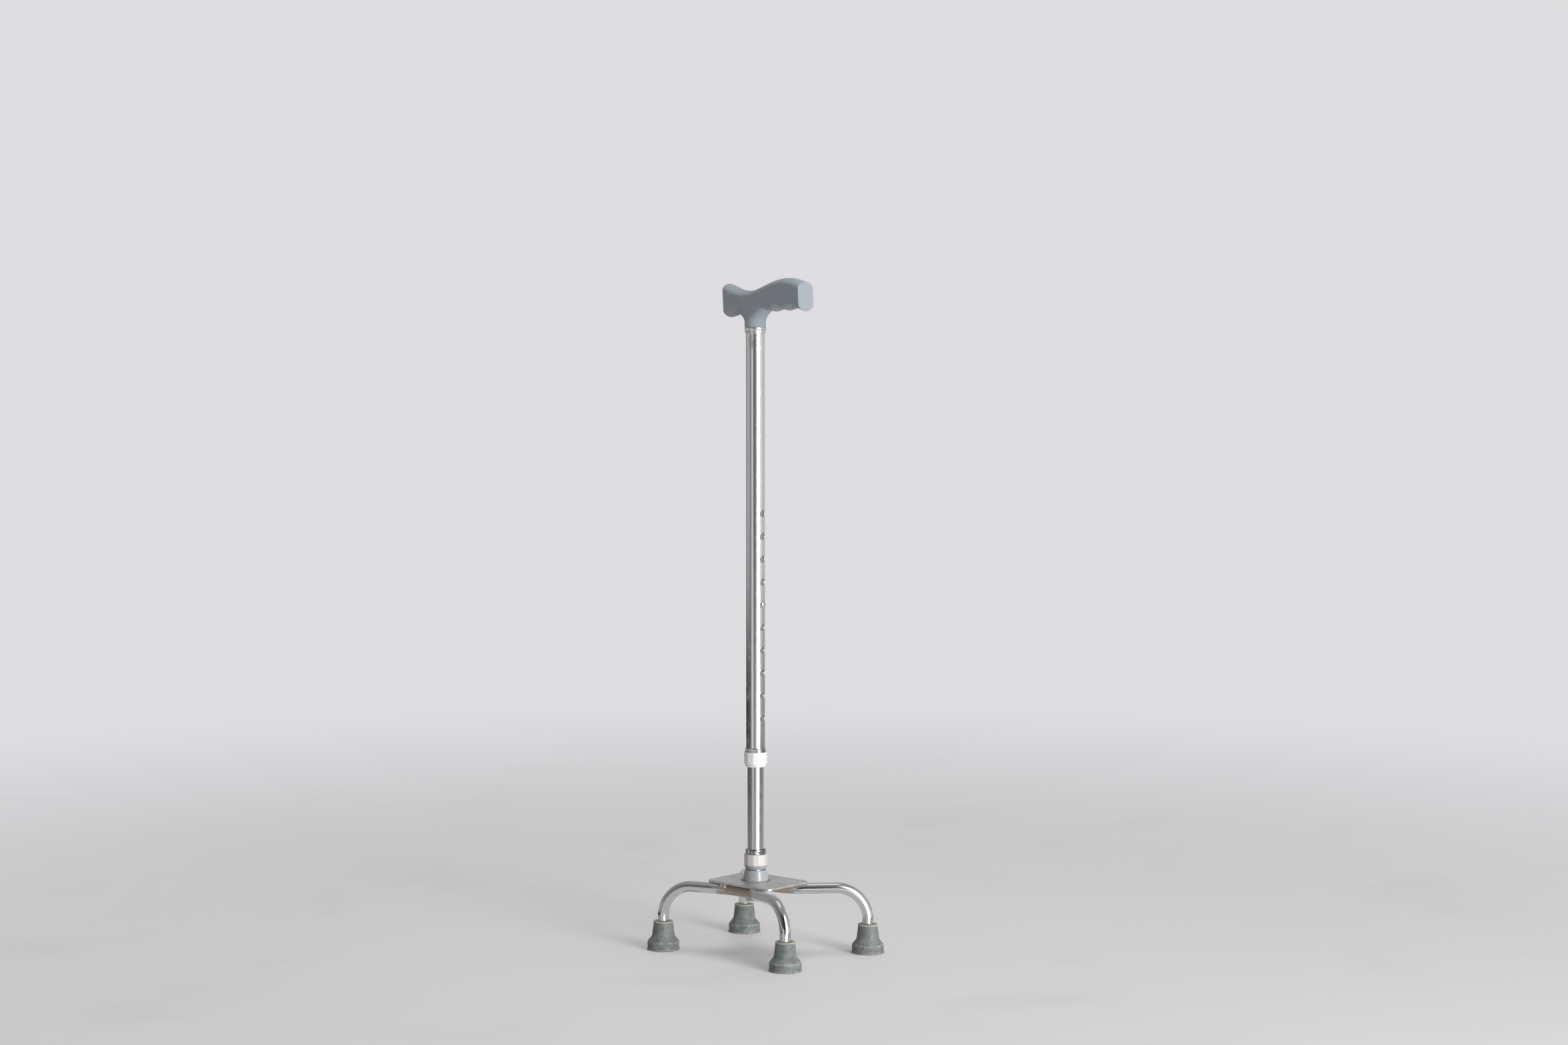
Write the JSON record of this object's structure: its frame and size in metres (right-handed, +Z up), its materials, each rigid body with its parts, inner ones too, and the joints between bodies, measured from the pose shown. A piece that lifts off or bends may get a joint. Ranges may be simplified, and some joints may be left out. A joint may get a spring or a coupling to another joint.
{
  "type": "quad walking cane",
  "caption": "Height-adjustable walking cane: moulded handle with finger grooves, telescoping tube shaft with snap button and lock nuts, bent-tube base on rubber tips.",
  "frame": {"origin": "on the floor, midway between the base's feet", "axes": "+Z up; +X along the base's long side, the way the height holes and the handle's long end face; -Y the user's side, which the shaft is nearer to"},
  "size_m": [0.2334, 0.1828, 0.7888],
  "materials": {
    "handle_plastic": "fine matte moulded blue-grey plastic",
    "outer_aluminium": "drawn and polished, light scratches",
    "polished_aluminium": "polished",
    "nut_aluminium": "turned, brushed and worn",
    "tube_chrome": "chrome-plated steel, light wear",
    "plate_chrome": "pitted chrome plate with rust specks",
    "weld_metal": "dull, dusty weld metal with rust",
    "cone_plastic": "glossy grey moulding",
    "seat_plastic": "lavender-grey moulding",
    "bush_plastic": "natural white nylon",
    "tip_rubber": "grey-green rubber with dust",
    "zinc_steel": "zinc plated",
    "spring_steel": "hardened spring steel",
    "button_steel": "polished dome"
  },
  "bodies": {
    "base": {"base_plate": "plate_chrome", "leg_tube_near": "tube_chrome", "leg_tube_far": "tube_chrome", "plate_welds": "weld_metal", "socket_tube": "zinc_steel", "socket_weld": "weld_metal", "socket_plug": "bush_plastic", "base_cone": "cone_plastic", "thread_sleeve": "zinc_steel", "seat_ring": "seat_plastic", "tip_near_left": "tip_rubber", "tip_near_right": "tip_rubber", "tip_far_left": "tip_rubber", "tip_far_right": "tip_rubber", "tip_washer_near_left": "zinc_steel", "tip_washer_near_right": "zinc_steel", "tip_washer_far_left": "zinc_steel", "tip_washer_far_right": "zinc_steel"},
    "shaft": {"inner_tube": "tube_chrome", "glide_bush": "bush_plastic", "snap_spring": "spring_steel"},
    "outer": {"outer_tube": "outer_aluminium", "upper_sleeve": "polished_aluminium", "ferrule": "polished_aluminium", "handle_grip": "handle_plastic", "handle_core": "bush_plastic", "handle_pin": "zinc_steel"},
    "button": {"snap_button": "button_steel"},
    "lower_collet": {"lower_collet": "bush_plastic"},
    "lower_nut": {"lower_lock_nut": "nut_aluminium", "lower_cap_ring": "polished_aluminium"},
    "upper_collet": {"upper_collet": "bush_plastic"},
    "upper_nut": {"upper_lock_nut": "nut_aluminium"}
  },
  "joints": [
    {"name": "shaft_turn", "type": "hinge", "parent": "base", "child": "shaft", "pos_m": [0, -0.016, 0.1], "axis": [0, 0, 1], "range_deg": [-180, 180]},
    {"name": "height_slide", "type": "slide", "parent": "shaft", "child": "outer", "axis": [0, 0, 1], "range_m": [-0.0795, 0.1325], "deforming": ["snap_button"]},
    {"name": "button_press", "type": "slide", "parent": "shaft", "child": "button", "axis": [-1, 0, 0], "range_m": [0, 0.0048], "stiffness_N_per_m": 1500, "springref_m": -0.002, "deforming": ["snap_spring"]},
    {"name": "lower_nut_travel", "type": "slide", "parent": "base", "child": "lower_collet", "axis": [0, 0, 1], "range_m": [0, 0.003]},
    {"name": "lower_nut_turn", "type": "hinge", "parent": "lower_collet", "child": "lower_nut", "pos_m": [0, -0.016, 0.11], "axis": [0, 0, 1], "range_deg": [0, 540]},
    {"name": "upper_nut_travel", "type": "slide", "parent": "outer", "child": "upper_collet", "axis": [0, 0, 1], "range_m": [-0.003, 0]},
    {"name": "upper_nut_turn", "type": "hinge", "parent": "upper_collet", "child": "upper_nut", "pos_m": [0, -0.016, 0.23], "axis": [0, 0, 1], "range_deg": [-540, 0]}
  ],
  "couplings": [
    {"joint": "lower_nut_travel", "follows": "lower_nut_turn", "m_per_rad": 0.0003183},
    {"joint": "upper_nut_travel", "follows": "upper_nut_turn", "m_per_rad": 0.0003183}
  ]
}
